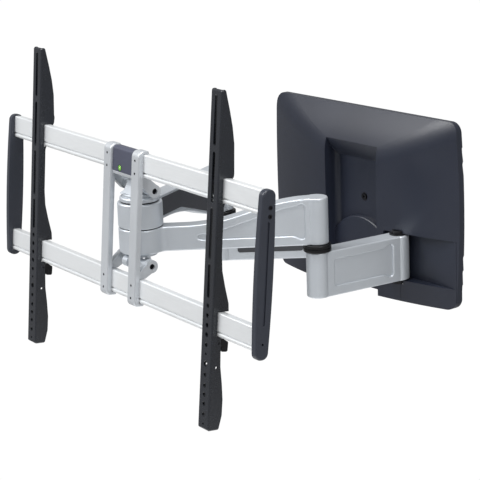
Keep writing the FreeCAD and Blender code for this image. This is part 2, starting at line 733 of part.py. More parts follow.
def make_arms():
    for side_name, side in (("right", 1), ("left", -1)):
        right = side > 0
        pivot, elbow, hub = elbow_spot(side)
        fore = turned(pivot, heading(pivot, elbow))
        outer = turned(elbow, heading(elbow, hub))
        make_forearm(f"forearm_{side_name}", side, fore)
        make_channel_lid(f"forearm_lid_{side_name}", -side, "forearm_thick * 0.5", FOREARM_CHANNEL,
                         fore)
        make_outer_arm(f"outer_arm_{side_name}", right, outer)
        make_channel_lid(f"outer_lid_{side_name}", -side, "beam_thick * 0.5",
                         RIGHT_CHANNEL if right else LEFT_CHANNEL, outer)
        make_arm_pins(side_name, pivot, elbow, 28)
        print(f"{side_name} arm: elbow {elbow.x:.2f} {elbow.y:.2f}, forearm turned "
              f"{heading(pivot, elbow):.3f}, outer arm turned {heading(elbow, hub):.3f}")


make_arms()

# ---------------------------------------------------------------- hub

HUB = Vector(D["hub_side"], -D["hub_out"], 0)
SWIVEL = Placement(HUB, Rotation(AXIS_Z, D["pan_angle"]))
TILT_SPOT = Vector(0, 0, D["tilt_height"])
HEAD = SWIVEL.multiply(Placement(TILT_SPOT, Rotation(AXIS_X, D["tilt_angle"])))


def make_hub_carrier():
    """The sleeve that the right arm turns on and the thin dark washer between the two arms."""
    tall = "outer_high_hub - outer_low - 0.2"
    sleeve = cut(rod("sleeve_rad", tall, (0, 0, "outer_low + 0.1")),
                 rod("spindle_rad + running_gap", 60, (0, 0, -30)))
    keep("hub_sleeve", sleeve, SWIVEL)
    washer = cut(rod("hub_rad - 1.4", 0.8, (0, 0, "outer_high_hub + 0.1")),
                 rod("spindle_rad + 0.1", 4, (0, 0, "outer_high_hub - 1")))
    keep("hub_washer", washer, SWIVEL)


def make_spindle():
    """The spindle through the hub, its head in the crown ring on top, and a dark washer."""
    spindle = fuse(rod("spindle_rad", 77, (0, 0, -28.6)), rod(14, 6.6, (0, 0, 48.35)))
    keep("hub_spindle", spindle, SWIVEL)
    washer = cut(rod("crown_rad - 0.8", 1.7, (0, 0, "left_top + 0.3")), rod(14.05, 6, (0, 0, 46)))
    keep("crown_washer", washer, SWIVEL)
    ring = round_edges(rod("crown_rad", "crown_top - left_top - 2", (0, 0, "left_top + 2")), 2.6,
                       lambda edge: edge.BoundBox.ZMin > D["crown_top"] - 0.1
                       and edge.BoundBox.XLength > 40)
    keep("crown_ring", cut(ring, rod(14.05, 12, (0, 0, 46))), SWIVEL)


def make_neck():
    """The casting that carries the tilt tube: a round foot that narrows quickly to a boss."""
    foot = round_edges(rod(23, 4, (0, 0, "crown_top + 0.05")), 1.5,
                       lambda edge: edge.BoundBox.ZMin > D["crown_top"] + 3 and edge.BoundBox.XLength > 40)
    body = new_body("neck_boss")
    profile = sketch_on(body, "yz")
    draw_outline(profile, [(-20, 58, 0), (20, 58, 0), (12.5, 70, 6), (9, 79.5, 6), (-9, 79.5, 6),
                           (-12.5, 70, 6)])
    pad(body, profile, 44, both_ways=True)
    for side in (-1, 1):
        flank = sketch_on(body, "xz")
        draw_polygon(flank, [(side * 21, 57), (side * 13, 63.5), (side * 12, 90), (side * 40, 90),
                             (side * 40, 57)])
        pocket(body, flank, 60, both_ways=True)
    bore = rod("tube_rad + 0.02", 80, (-40, 0, "tilt_height"), "x")
    keep("neck", cut(fuse(foot, body), bore), SWIVEL)
    reach = D["ear_outer"] - D["ear_thick"] - 0.2
    tube = cut(rod("tube_rad", 2 * reach, (-reach, 0, "tilt_height"), "x"),
               rod("tilt_pin_rad + running_gap", 90, (-45, 0, "tilt_height"), "x"))
    keep("tilt_tube", tube, SWIVEL)


def make_lower_yoke():
    """The web under the hub with the curved slot that the lower pin runs in."""
    body = new_body("yoke_web")
    radius = D["lower_pin_drop"]
    web = sketch_on(body, "yz")
    middle = D["tilt_height"]
    draw_arc_band(web, radius, 7.6, (-12.2, 1.4), middle)
    pad(body, web, 12, both_ways=True)
    stem = box((12, 22, 9), (-6, -17, -34))
    flange = rod(21, 5, (0, 0, "outer_low - 5.2"))
    slot_body = new_body("yoke_slot")
    slot = sketch_on(slot_body, "yz")
    draw_arc_band(slot, radius, 4.3, (-12.2, 1.4), middle)
    pad(slot_body, slot, 30, both_ways=True)
    socket = rod("spindle_rad + 0.01", 7, (0, 0, -28.6))
    keep("lower_yoke", cut(fuse(flange, stem, body), slot_body, socket), SWIVEL)


def draw_arc_band(sketch, radius, half, swing, middle):
    """Draw a curved slot with round ends, a radius below the tilt axis, over a swing in degrees."""
    centre = Vector(0, middle, 0)
    first, last = [math.radians(angle - 90) for angle in swing]
    for edge in (radius - half, radius + half):
        circle = Part.Circle(centre, AXIS_Z, edge)
        sketch.addGeometry(Part.ArcOfCircle(circle, first, last))
    for angle, turn in ((first, first + math.pi), (last, last)):
        spot = centre + Vector(math.cos(angle), math.sin(angle), 0) * radius
        sketch.addGeometry(Part.ArcOfCircle(Part.Circle(spot, AXIS_Z, half), turn, turn + math.pi))
    for index in range(4):
        sketch.addConstraint(Sketcher.Constraint("Block", index))


# ---------------------------------------------------------------- tilting head


def make_bracket(label, side):
    """One upright bracket of the head: a bar that hooks the two rails, with two ears behind."""
    middle = side * D["bracket_mid"]
    half = D["bracket_width"] / 2
    front, thick = D["bracket_front"], D["bracket_thick"]
    back = front + thick
    top, low = D["bracket_top"], D["bracket_low"]
    rail_top = D["upper_rail_low"] + D["rail_height"]
    rail_bottom = D["lower_rail_low"]
    body = new_body(label)
    profile = sketch_on(body, "yz", middle - half)
    draw_outline(profile, [(front, low, 7), (-13.5, low, 2.4), (-13.5, rail_bottom - 0.2, 0),
                           (back, rail_bottom - 0.2, 0), (back, rail_top + 0.2, 0),
                           (-13.5, rail_top + 0.2, 0), (-13.5, top, 2.4), (front, top, 9)])
    pad(body, profile, "bracket_width")
    fillet(body, 2.1, lambda edge: along(edge, AXIS_Z) and edge.BoundBox.YMax < front + 1)
    waist = make_waist(middle, half, side)
    ears = [make_ear(side, low_ear) for low_ear in (False, True)]
    holes = [rod(1.9, 20, (middle, front - 1, height), "y") for height in BRACKET_SCREWS]
    keep(label, cut(fuse(body, *ears), waist, *holes), HEAD)


BRACKET_SCREWS = (42.7, 25.1, -128.2, -145.6)


def make_waist(middle, half, side):
    """The relief along the back of a bar between the rails, so that the bar reads as a U section."""
    return box((11, 3, 118), (middle - 5.5 - side * 2, D["bracket_front"] + D["bracket_thick"] - 2.5, -110))


def make_ear(side, lower):
    """An ear behind the bar: a round end on the pin, joined to the bar by a tapering strap."""
    outer = side * D["ear_outer"]
    start = outer - D["ear_thick"] if side > 0 else outer
    drop = -D["lower_pin_drop"] if lower else 0
    body = new_body(f"ear_{'low' if lower else 'high'}_{'right' if side > 0 else 'left'}")
    strap = sketch_on(body, "yz", start)
    rad = D["ear_rad"]
    if lower:
        corners = [(-24, drop - 15.5, 0), (-10.4, drop - 15.5, 1), (rad * 0.92, drop - 4, 0),
                   (-rad * 0.45, drop + rad * 0.9, 0), (-24, drop - 10, 0)]
    else:
        corners = [(-24, 11, 0), (-rad * 0.72, -rad * 0.69, 0), (rad * 0.3, rad * 0.95, 0),
                   (-12, 20.0, 3), (-24, 20.0, 0)]
    draw_outline(strap, corners)
    pad(body, strap, "ear_thick")
    end = rod("ear_rad", "ear_thick", (start, 0, drop), "x")
    bore = rod("tilt_pin_rad + 0.02", 30, (start - 10, 0, drop), "x")
    return cut(fuse(body, end), bore)


def make_rail(label, low):
    """A hollow extruded rail with a groove and a rounded lip along the lower front edge."""
    front, deep = D["rail_front"], D["rail_deep"]
    top = low + D["rail_height"]
    groove = low + D["lip_height"]
    body = new_body(label)
    outside = sketch_on(body, "yz")
    draw_outline(outside, [(front, low, 3.4), (front + deep, low, 2), (front + deep, top, 2),
                           (front, top, 2), (front, groove + 1, 0.4), (front + 2.2, groove + 0.7, 0.3),
                           (front + 2.2, groove - 0.5, 0.3), (front, groove - 1.2, 2.6)])
    pad(body, outside, "rail_half * 2", both_ways=True)
    wall = D["rail_wall"]
    for start, stop in ((low + wall, groove - 2.2), (groove + 2.4, top - wall)):
        inside = sketch_on(body, "yz")
        draw_outline(inside, [(front + wall, start, 1), (front + deep - wall, start, 1),
                              (front + deep - wall, stop, 1), (front + wall, stop, 1)])
        pocket(body, inside, 700, both_ways=True)
    keep(label, body, HEAD)


def make_end_cap(label, side):
    """A cast end plate that joins the two rails: a long oval with a sunk groove."""
    outer = 331
    start = side * outer if side < 0 else outer - D["cap_thick"]
    middle, deep = D["cap_middle"], D["cap_half_deep"]
    low, top = D["cap_low"], D["cap_top"]
    waist, belly = (low + top) / 2, deep + D["cap_belly"]
    corner = deep - 0.5
    body = new_body(label)
    outline = sketch_on(body, "yz", start)
    draw_outline(outline, [(middle - deep, low, corner), (middle + deep, low, corner),
                           (middle + belly, waist, 2000), (middle + deep, top, corner),
                           (middle - deep, top, corner), (middle - belly, waist, 2000)])
    pad(body, outline, "cap_thick")
    face = side * outer
    fillet(body, 2.2, lambda edge: abs(edge.BoundBox.XMin - face) < 1e-3
           and abs(edge.BoundBox.XMax - face) < 1e-3)
    tools = [groove_tool(face, side, middle), rod(1.6, 20, (face - 10, middle, -139), "x")]
    for height in CAP_SCREWS:
        tools.append(rod(2.9, 20, (face - 10, -16.5, height), "x"))
    for rail_low in (D["upper_rail_low"], D["lower_rail_low"]):
        seat = (D["rail_deep"] + 0.2, D["rail_height"] + 0.2)
        near = face - side * D["cap_thick"]
        tools.append(box((6.4, *seat), (near - 3.2, D["rail_front"] - 0.1, rail_low - 0.1)))
    keep(label, cut(body, *tools), HEAD)


CAP_SCREWS = (32, 21)


def groove_tool(face, side, middle):
    """A long round-ended groove sunk 1.6 mm into an end plate."""
    low, high = -114, 13
    x = face - 1.6 if side > 0 else face - 2
    return fuse(box((3.6, 3.6, high - low), (x, middle - 1.8, low)),
                rod(1.8, 3.6, (x, middle, low), "x"), rod(1.8, 3.6, (x, middle, high), "x"))


def make_head_screws():
    """Small screws: eight in the brackets and four in the end plates."""
    front = D["bracket_front"]
    screws = []
    for side in (-1, 1):
        middle = side * D["bracket_mid"]
        for height in BRACKET_SCREWS:
            shank = rod(1.88, 7, (middle, front + 0.7, height), "y")
            socket = hexagon(2, 1.4, (middle, front + 0.6, height), "y")
            screws.append(cut(shank, socket))
    keep_group("bracket_screws", screws, HEAD)
    screws = []
    for side in (-1, 1):
        for height in CAP_SCREWS:
            start = 325.3 if side > 0 else -331.5
            head = rod(2.85, 6.2, (start, -16.5, height), "x")
            socket = hexagon(2.6, 2, (330.2 if side > 0 else -332.2, -16.5, height), "x")
            screws.append(cut(head, socket))
    keep_group("end_cap_screws", screws, HEAD)


def make_centre_cover():
    """The dark plate between the brackets, its silver lip and the round spirit level."""
    inner = D["bracket_mid"] - D["bracket_width"] / 2
    wide = 2 * inner - 0.4
    low, high = D["upper_rail_low"] - 0.3, D["upper_rail_low"] + D["rail_height"]
    body = new_body("centre_cover")
    side_view = sketch_on(body, "yz")
    draw_outline(side_view, [(-26.4, low, 0.5), (-22.4, low, 0.3), (-22.4, high + 0.2, 0.3),
                             (-13.8, high + 0.2, 0.5), (-13.8, high + 2.4, 1), (-26.4, high + 2.4, 5)])
    pad(body, side_view, wide, both_ways=True)
    vial_hole = rod(4.6, 3.2, (-8, -27, 25.5), "y")
    keep("centre_cover", cut(body, vial_hole), HEAD)
    bezel = cut(rod(4.55, 2.6, (-8, -26.6, 25.5), "y"), rod(3.6, 2, (-8, -27, 25.5), "y"))
    keep("level_bezel", bezel, HEAD)
    vial = round_edges(rod(3.55, 1.9, (-8, -26.9, 25.5), "y"), 0.8,
                       lambda edge: edge.BoundBox.YMax < -26.5 and edge.BoundBox.XLength > 6)
    keep("level_vial", vial, HEAD)
    lip_body = new_body("centre_lip")
    lip = sketch_on(lip_body, "yz")
    draw_outline(lip, [(-26.6, low - 0.2, 0.5), (-22.4, low - 0.2, 0.4), (-22.4, low - 4.6, 0.5),
                       (-25.4, low - 4.6, 1.2)])
    pad(lip_body, lip, wide, both_ways=True)
    keep("centre_lip", lip_body, HEAD)


def make_tilt_pins():
    """The tilt pin through the ears and the neck, and the clamping pin with its two spacers."""
    reach = D["ear_outer"]
    for label, drop in (("tilt_pin_upper", 0), ("tilt_pin_lower", -D["lower_pin_drop"])):
        pin = rod("tilt_pin_rad", 2 * reach - 5, (2.5 - reach, 0, drop), "x")
        sockets = [hexagon(4, 3, (x, 0, drop), "x") for x in (1.5 - reach, reach - 4.5)]
        keep(label, cut(pin, *sockets), HEAD)
    spacers = []
    for side in (-1, 1):
        start = 6.4 if side > 0 else -(reach - D["ear_thick"] - 0.2)
        long = reach - D["ear_thick"] - 0.2 - 6.4
        drop = -D["lower_pin_drop"]
        tube = cut(rod("tube_rad - 1", long, (start, 0, drop), "x"),
                   rod("tilt_pin_rad + 0.02", 90, (-45, 0, drop), "x"))
        spacers.append(tube)
    keep_group("lower_spacers", spacers, HEAD)


# ---------------------------------------------------------------- uprights

SLOTS = ((368.9, 433.4), (296.3, 361.4), (224, 291), (173.6, 218.9))
HOLES = (163.9, 151, 138.4, 125.9, 112.9, 73.4, 59, 46.9, 34.7, 20.6)
FLANGE = ((0, 9), (19, 13.4), (40, 13.7), (62, 11.4), (84, 8.2), (105, 7.4), (122, 7.0), (154, 17.5),
          (167, 16.6), (189, 10.2), (210, 5), (231, 3.3), (292, 3.2), (332, 16.8), (352, 15.8),
          (372, 14.8), (393, 11.3), (413, 6.4), (440, -1.2))


def make_upright(label, low_x):
    """A pressed channel that bolts to the back of a screen, cut away where it sits on the rails."""
    front, foot, sheet = D["upright_front"], D["upright_low"], D["upright_sheet"]
    wide = D["upright_width"]
    back_of = D["rail_front"]
    body = new_body(label)
    side_view = sketch_on(body, "yz", low_x)
    corners = [(front, foot, 3)]
    corners += [(back_of + depth, foot + height, 12 if 0 < height < 440 else 3)
                for height, depth in FLANGE]
    corners += [(front, foot + D["upright_height"], 3)]
    draw_outline(side_view, soften(corners))
    pad(body, side_view, "upright_width")
    fillet(body, 2.0, lambda edge: abs(edge.BoundBox.YMax - front) < 1e-3 and along(edge, AXIS_Z))
    hollow = sketch_on(body, "xy", foot - 5)
    draw_polygon(hollow, [(low_x + sheet, front + sheet), (low_x + wide - sheet, front + sheet),
                          (low_x + wide - sheet, 30), (low_x + sheet, 30)])
    pocket(body, hollow, 500, reverse=True)
    tools = []
    middle = low_x + wide / 2
    half = D["slot_half"]
    for start, stop in SLOTS:
        run = stop - start - 2 * half
        tools.append(box((2 * half, 8, run), (middle - half, front - 2, foot + start + half)))
        for height in (start + half, stop - half):
            tools.append(rod("slot_half", 8, (middle, front - 2, foot + height), "y"))
    for height in HOLES:
        tools.append(rod("hole_rad", 8, (middle, front - 2, foot + height), "y"))
    tools.append(rod(1.8, 8, (middle, front - 2, foot + 100.8), "y"))
    tools.append(rod(4, 8, (middle, front - 2, foot + 87.7), "y"))
    tools.append(rod(1.8, 8, (middle, front - 2, foot + 8), "y"))
    tools.append(rod(1.7, 60, (low_x - 10, -21, foot + 84), "x"))
    tools.append(rod(1.64, 60, (low_x - 10, -19, D["lower_rail_low"] - 9), "x"))
    for rail_low in (D["upper_rail_low"], D["lower_rail_low"]):
        tools.append(box((40, 60, D["rail_height"] + 0.3), (low_x - 8, back_of - 0.15, rail_low - 0.15)))
    keep(label, cut(body, *tools), HEAD)


def soften(corners):
    """Limit each corner's radius so that neighbouring tangent arcs never meet."""
    softened = []
    for index, (y, z, radius) in enumerate(corners):
        before = corners[index - 1]
        after = corners[(index + 1) % len(corners)]
        room = min(math.hypot(y - before[0], z - before[1]), math.hypot(y - after[0], z - after[1]))
        softened.append((y, z, min(radius, room * 0.45)))
    return softened


def make_clamp(side_name, low_x):
    """The sliding clamp under the upper rail with its knob, and the latch under the lower rail."""
    sheet, wide = D["upright_sheet"], D["upright_width"]
    start = low_x + sheet + 0.3
    across = wide - 2 * sheet - 0.6
    middle = low_x + wide / 2
    web_back = D["upright_front"] + sheet + 0.1
    rail_top = D["upper_rail_low"] + D["rail_height"]
    knob_level = rail_top + 8
    seat = box((across, -9.6 - web_back, 14), (start, web_back, rail_top + 0.3))
    jaw = box((across, 3.2, 17), (start, -9.8, rail_top - 2.7))
    rail_room = box((across + 4, 12.3, 40), (start - 2, D["rail_front"] - 0.1, rail_top - 39.85))
    block = cut(fuse(seat, jaw), rail_room, rod(3.05, 40, (middle, -20, knob_level), "y"))
    keep(f"clamp_block_{side_name}", block, HEAD)
    knob = round_edges(rod(7, 3.4, (middle, -6.4, knob_level), "y"), 1,
                       lambda edge: edge.BoundBox.XLength > 10)
    turns = [index * math.pi / 4 for index in range(8)]
    notches = [rod(1.5, 8, (middle + 7.6 * math.cos(turn), -7, knob_level + 7.6 * math.sin(turn)), "y")
               for turn in turns]
    stem = rod(3, 10, (middle, -15.5, knob_level), "y")
    keep(f"clamp_knob_{side_name}", fuse(cut(knob, *notches), stem), HEAD)
    pivot_z = D["lower_rail_low"] - 9
    pin = rod(1.6, wide - 0.2, (low_x + 0.1, -19, pivot_z), "x")
    keep_group(f"latch_pin_{side_name}", [pin], HEAD)
    lever_body = new_body(f"lever_{side_name}")
    shape = sketch_on(lever_body, "yz", start + 2)
    draw_outline(shape, [(-23, pivot_z - 4, 3), (-12, pivot_z - 4.5, 2), (-11.5, pivot_z - 13, 2),
                         (-2, pivot_z - 14, 2.4), (-1.4, pivot_z - 1, 3), (-9, pivot_z + 4, 3),
                         (-23, pivot_z + 4, 3)])
    pad(lever_body, shape, across - 4)
    keep(f"latch_lever_{side_name}", cut(lever_body, rod(1.68, 60, (low_x - 10, -19, pivot_z), "x")), HEAD)


make_hub_carrier()
make_spindle()
make_neck()
make_lower_yoke()
make_bracket("bracket_right", 1)
make_bracket("bracket_left", -1)
make_rail("upper_rail", D["upper_rail_low"])
make_rail("lower_rail", D["lower_rail_low"])
make_end_cap("end_cap_right", 1)
make_end_cap("end_cap_left", -1)
make_head_screws()
make_centre_cover()
make_tilt_pins()
for upright_side, upright_x in (("right", 212.5), ("left", -254.2)):
    make_upright(f"upright_{upright_side}", upright_x)
    make_clamp(upright_side, upright_x)

# ---------------------------------------------------------------- check and write

doc.recompute()
for thing in doc.Objects:
    if "Invalid" in thing.State or "Error" in thing.State:
        raise RuntimeError(f"{thing.Name} failed: {thing.State}")
for label, thing in pieces.items():
    if thing.Shape.isNull() or not thing.Shape.isValid():
        raise RuntimeError(f"{label} has no valid shape")
os.makedirs("parts", exist_ok=True)
for label, thing in pieces.items():
    thing.Shape.exportStep(f"parts/{label}.step")
    print(f"{label:24s} {len(thing.Shape.Solids)} solids, {thing.Shape.Volume / 1000:9.2f} cm3")
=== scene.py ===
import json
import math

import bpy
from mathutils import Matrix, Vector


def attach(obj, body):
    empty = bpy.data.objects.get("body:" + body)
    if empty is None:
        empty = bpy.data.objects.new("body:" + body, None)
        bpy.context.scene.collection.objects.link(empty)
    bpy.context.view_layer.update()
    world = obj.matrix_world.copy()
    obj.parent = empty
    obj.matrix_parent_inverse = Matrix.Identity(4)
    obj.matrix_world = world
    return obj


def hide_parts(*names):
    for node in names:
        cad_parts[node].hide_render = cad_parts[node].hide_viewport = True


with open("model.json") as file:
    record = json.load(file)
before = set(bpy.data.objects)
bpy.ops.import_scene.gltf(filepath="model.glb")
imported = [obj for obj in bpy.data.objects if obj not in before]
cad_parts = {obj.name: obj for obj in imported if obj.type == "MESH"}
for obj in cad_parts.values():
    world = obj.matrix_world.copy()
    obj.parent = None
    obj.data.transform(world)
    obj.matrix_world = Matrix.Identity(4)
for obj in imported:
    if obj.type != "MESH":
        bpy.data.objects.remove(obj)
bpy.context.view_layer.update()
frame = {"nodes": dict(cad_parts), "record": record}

# %% [markdown]
# # A full motion television wall mount
#
# Two rails and two slotted uprights carry the television, and two folding arms join them to a
# covered plate on the wall. Every casting, rail, pin and screw is loaded already, in its real
# place. This lesson gives the parts their finishes, models the few small pieces whose charm is in
# their surface, and then lights and frames the mount.
#
# One unit is one metre. +Z is up, the wall is the plane y = 0, and the mount reaches towards -Y.

# %% [markdown]
# ## A small language for shaders
#
# A material's nodes could be wired up one link at a time, but arithmetic is easier to read. `Wire`
# stands for one output socket, and the usual operators add the Math nodes. The reflected forms
# take a plain number first, so `1 - wire` works as well as `wire - 1`.

# %% One wire between two nodes


class Wire:
    """One output socket; the operators add Math nodes."""

    def __init__(self, shader, socket):
        self.shader = shader
        self.socket = socket

    def math(self, operation, first, second):
        return self.shader.node("ShaderNodeMath", [first, second], operation=operation)

    def __add__(self, other):
        return self.math("ADD", self, other)

    def __sub__(self, other):
        return self.math("SUBTRACT", self, other)

    def __rsub__(self, other):
        return self.math("SUBTRACT", other, self)

    def __mul__(self, other):
        return self.math("MULTIPLY", self, other)

    __radd__ = __add__
    __rmul__ = __mul__

    def between(self, low, high):
        """Map low..high to 0..1, with soft ends."""
        inputs = {"Value": self, "From Min": low, "From Max": high, "To Min": 0.0, "To Max": 1.0}
        return self.shader.node("ShaderNodeMapRange", inputs, interpolation_type="SMOOTHSTEP")


# %% [markdown]
# `Shader` stands for one material, and `Shader.node` is the only place that makes a node. A number
# that is the same all over goes straight on the main shader's socket. Every pattern reads Object
# coordinates: the parts all sit at the origin with their place in their mesh, so a pattern keeps
# its real scale in metres and runs on from one part to the next.

# %% One material and its patterns


class Shader:
    """One material: its node tree, its main shader and the object coordinates."""

    def __init__(self, name, **constants):
        self.material = bpy.data.materials.new(name)
        self.material.use_nodes = True
        self.tree = self.material.node_tree
        self.main = self.tree.nodes["Principled BSDF"]
        for socket, value in constants.items():
            self.main.inputs[socket.replace("_", " ")].default_value = value
        self.place = self.node("ShaderNodeTexCoord", {}, output="Object")

    def node(self, kind, inputs, output=0, **settings):
        """Make a node, set it up, plug in its inputs and hand back one output."""
        made = self.tree.nodes.new(kind)
        for name, value in settings.items():
            setattr(made, name, value)
        pairs = enumerate(inputs) if isinstance(inputs, list) else inputs.items()
        for key, value in pairs:
            if isinstance(value, Wire):
                self.tree.links.new(value.socket, made.inputs[key])
            else:
                made.inputs[key].default_value = value
        return Wire(self, made.outputs[output])

    def noise(self, scale, detail, stretch=(1, 1, 1), turn=0.0):
        """Noise over the object, about 0.5 on average; stretch above 1 makes it finer that way."""
        where = self.node("ShaderNodeMapping", {"Vector": self.place, "Rotation": (0, 0, turn),
                                                "Scale": stretch})
        return self.node("ShaderNodeTexNoise", {"Vector": where, "Scale": scale,
                                                "Detail": detail})

    def mix(self, amount, first, second):
        """A colour between two colours; each one is a plain colour or a wire."""
        ends = [end if isinstance(end, Wire) else (*end, 1.0) for end in (first, second)]
        inputs = {0: amount, 6: ends[0], 7: ends[1]}
        return self.node("ShaderNodeMix", inputs, output=2, data_type="RGBA")

    def scratches(self, scale, turn, amount=1.0):
        """Sparse fine lines in one direction, 0 to about amount."""
        lines = self.noise(scale, 2, stretch=(1, 0.03, 0.4), turn=turn)
        patches = self.noise(14, 2).between(0.5, 0.75)
        return lines.between(0.64, 0.72) * patches * amount

    def drive(self, socket, wire):
        """Let a wire set one of the main shader's inputs."""
        self.tree.links.new(wire.socket, self.main.inputs[socket])

    def bump(self, height, strength, distance):
        """Roughen the surface by a height wire."""
        inputs = {"Height": height, "Strength": strength, "Distance": distance}
        self.drive("Normal", self.node("ShaderNodeBump", inputs))


# %% [markdown]
# ## Finishes
#
# A flat colour looks like a toy, and a picture of a surface would tie the finish to one size. So
# each finish is made of several noises: a cloud a hand wide for the colour, one of two or three
# centimetres for the gloss, and one of about a millimetre for the bump. Rubbed lines, where a cloth
# or a cable has passed, are noise stretched along one direction and kept in patches.

# %% What the finishes share
NOISE_LIFT = 0.09
FINE = 0.0002
finishes = {}


def shades(colour, spread):
    """A darker and a lighter version of one colour."""
    return tuple([c * (1 - spread) for c in colour]), tuple([c * (1 + spread) for c in colour])


print("the noises lift the roughness by", NOISE_LIFT, "and a fine bump is", FINE, "m deep")

# %% [markdown]
# ### Powder coat
#
# The castings, the brackets, the end plates and the sheet steel are sprayed with powder and baked,
# which leaves a fine orange peel and a slightly uneven gloss. The silver powder holds metal flakes,
# so it is partly metallic. The blacks hold a little blue: light that skims the surface lifts them,
# so their base colours are close to zero and the gloss does the rest.

# %% Powder coat


def powder_coat(name, colour, metal=0.0, gloss=0.42, shine=0.5):
    """Sprayed and baked paint: orange peel, cloudy gloss, a few rubbed lines."""
    s = Shader(name, Metallic=metal, Specular_IOR_Level=shine)
    cloud = s.noise(9, 3)
    grain = s.noise(900, 2)
    rubbed = s.scratches(160, 0.7) + s.scratches(210, -0.4)
    dark, light = shades(colour, 0.07)
    tone = cloud.between(0.3, 0.7) * 0.6 + grain * 0.4 + rubbed * 0.3
    s.drive("Base Color", s.mix(tone, dark, light))
    s.drive("Roughness", s.noise(45, 4) * 0.12 + cloud * 0.06 + rubbed * 0.12 + gloss - NOISE_LIFT)
    s.bump(s.noise(650, 2) + grain * 0.3, strength=0.12, distance=0.0003)
    finishes[name] = s.material


powder_coat("arm_silver", (0.56, 0.595, 0.635), metal=0.6, gloss=0.40)
powder_coat("bracket_silver", (0.53, 0.555, 0.585), metal=0.45, gloss=0.34)
powder_coat("end_grey", (0.026, 0.030, 0.042), gloss=0.32)
powder_coat("plate_black", (0.010, 0.010, 0.012), shine=0.3)
powder_coat("upright_black", (0.010, 0.012, 0.017), gloss=0.26, shine=0.6)
print("powder coats:", list(finishes))

# %% [markdown]
# ### Anodising
#
# The rails are aluminium pushed through a die, so faint lines run along their whole length. A noise
# that is stretched far along X and pressed together across it draws them. It is turned by the few
# degrees that the rails stand at.

# %% Anodising
RAIL_TURN = -0.086


def anodised(name, colour):
    """An anodised extrusion, its fine lines along the rail."""
    s = Shader(name, Metallic=0.45)
    lines = s.noise(60, 4, stretch=(0.02, 9, 9), turn=RAIL_TURN)
    cloud = s.noise(5, 3)
    dark, light = shades(colour, 0.05)
    s.drive("Base Color", s.mix(lines * 0.7 + cloud * 0.3, dark, light))
    s.drive("Roughness", lines * 0.16 + cloud * 0.06 + s.scratches(90, 0.2, 0.1) + 0.22)
    s.bump(lines, strength=0.08, distance=FINE)
    finishes[name] = s.material


anodised("rail_silver", (0.78, 0.80, 0.815))
print("anodised:", finishes["rail_silver"].name)

# %% [markdown]
# ### Moulded plastic
#
# The wall cover, the lids, the rings and the knobs are moulded plastic, with an even grain from the
# mould, faint clouds from the flow and a little dust. The level's glass and bubble are made the
# same way, with a clear coat over a bright green, which looks wet. The lids' dark grey is painted
# shade: it stands for the shadow on the silver inner faces of the arms.

# %% Moulded plastic


def moulded(name, colour, gloss=0.38, dust=0.06, coat=0.0, shine=0.5):
    """Injection-moulded plastic: a fine grain, faint flow clouds and a little dust."""
    s = Shader(name, Coat_Weight=coat, Coat_Roughness=0.25, Specular_IOR_Level=shine)
    cloud = s.noise(6, 4)
    speck = s.noise(1400, 2)
    handled = s.scratches(120, 0.5) + s.scratches(180, -0.9)
    dark, light = shades(colour, 0.10)
    base = s.mix(cloud.between(0.3, 0.7), dark, light)
    dusty = tuple([c * 0.8 + 0.03 for c in colour])
    s.drive("Base Color", s.mix(s.noise(28, 5).between(0.5, 0.8) * dust, base, dusty))
    s.drive("Roughness", cloud * 0.10 + speck * 0.08 + handled * 0.1 + gloss - NOISE_LIFT)
    s.bump(speck + s.noise(420, 2) * 0.5, strength=0.15, distance=FINE)
    finishes[name] = s.material


moulded("cover_grey", (0.013, 0.016, 0.027), gloss=0.34, shine=0.45)
# The lids' dark grey is painted shade: it stands for the shadow on the silver inner faces of the
# arms.
moulded("lid_dark", (0.050, 0.052, 0.058), gloss=0.40, dust=0.03, shine=0.3)
moulded("ring_black", (0.004, 0.004, 0.005), gloss=0.34, dust=0.03, shine=0.3)
moulded("clamp_black", (0.004, 0.004, 0.005), gloss=0.4, dust=0.03, shine=0.25)
moulded("centre_dark", (0.055, 0.060, 0.090))
moulded("bezel_dark", (0.02, 0.035, 0.02), gloss=0.35)
moulded("vial_green", (0.16, 0.50, 0.03), gloss=0.2, coat=0.8)
moulded("bubble_green", (0.62, 0.85, 0.35), gloss=0.18, coat=0.9)
print(len(finishes), "finishes so far")

# %% [markdown]
# ### Turned steel
#
# The pins and screws are turned on a lathe and plated. The tool leaves rings too fine to model, so
# a noise pressed together along one axis gives them in the gloss and the bump. These parts are
# small and half hidden, and need no dust or scratches.

# %% Turned steel
TURNING_LIFT = 0.07


def turned_steel(name, colour, gloss):
    """Turned and plated steel."""
    s = Shader(name, Metallic=1.0)
    turning = s.noise(400, 2, stretch=(1, 1, 5))
    dark, light = shades(colour, 0.12)
    s.drive("Base Color", s.mix(s.noise(60, 4), dark, light))
    s.drive("Roughness", turning * 0.15 + gloss - TURNING_LIFT)
    s.bump(turning, strength=0.1, distance=0.0001)
    finishes[name] = s.material


turned_steel("steel", (0.55, 0.55, 0.56), gloss=0.3)
turned_steel("screw_dark", (0.03, 0.03, 0.034), gloss=0.42)
print(len(finishes), "finishes in all")

# %% [markdown]
# ### Finishes on the parts
#
# The record names a material slot for each part, so the finishes go on by name and none is missed.

# %% Finishes on the parts
for part in frame["record"]["subparts"]:
    mesh = frame["nodes"][part["node"]].data
    mesh.materials.clear()
    mesh.materials.append(finishes[part["material_slot"]])

# %% [markdown]
# ## Small modelled pieces
#
# The screen frame is turned and tilted a little, so a piece on it is easier to model in the head's
# own frame: origin on the tilt axis, +Y towards the wall. `in_head` carries a finished piece from
# there to its real place and freezes it, so its object ends at the origin like every other part's.

